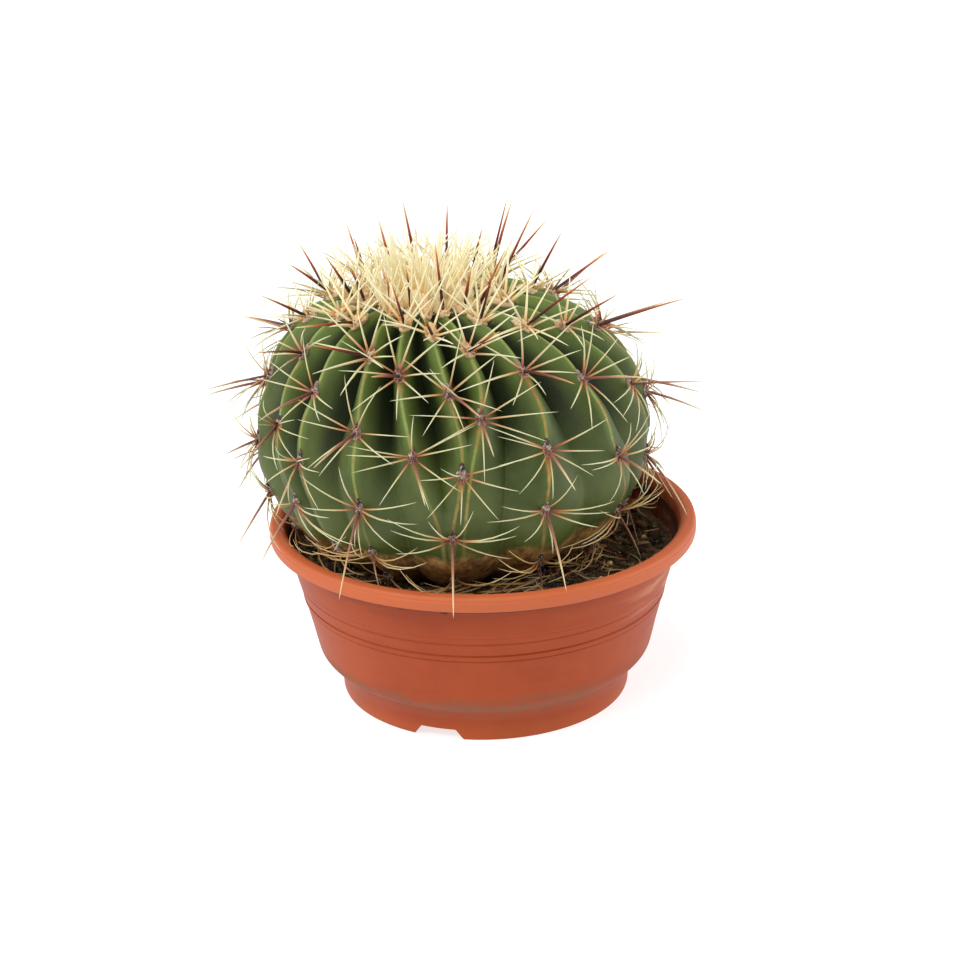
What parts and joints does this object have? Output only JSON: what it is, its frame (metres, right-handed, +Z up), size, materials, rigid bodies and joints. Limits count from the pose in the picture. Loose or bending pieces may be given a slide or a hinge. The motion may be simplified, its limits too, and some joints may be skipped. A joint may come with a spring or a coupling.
{
  "type": "potted round cactus",
  "caption": "Round ribbed cactus with stars of stiff spines and a woolly crown, growing in soil in a shallow bowl pot with a rolled rim, to stand on a table or shelf.",
  "frame": {"origin": "on the plane that the pot stands on, under the middle of the plant and of the whole object's box", "axes": "+Z up; -Y towards the side of the plant that the camera faces; +X to that side's right, where the pot's rim stands out further from the plant"},
  "size_m": [0.2719, 0.2749, 0.2697],
  "materials": {
    "pot_plastic": "matt terracotta-coloured moulded plastic, a little dusty",
    "potting_soil": "loose dark peat with pale grit and dry spine litter",
    "cactus_flesh": "waxy green skin, satin, with paler crests and corky lines",
    "young_spines": "pale yellow young spines in cream wool"
  },
  "bodies": {
    "root": {"pot": "pot_plastic", "soil": "potting_soil", "cactus": "cactus_flesh", "crown_tuft": "young_spines"}
  },
  "joints": []
}
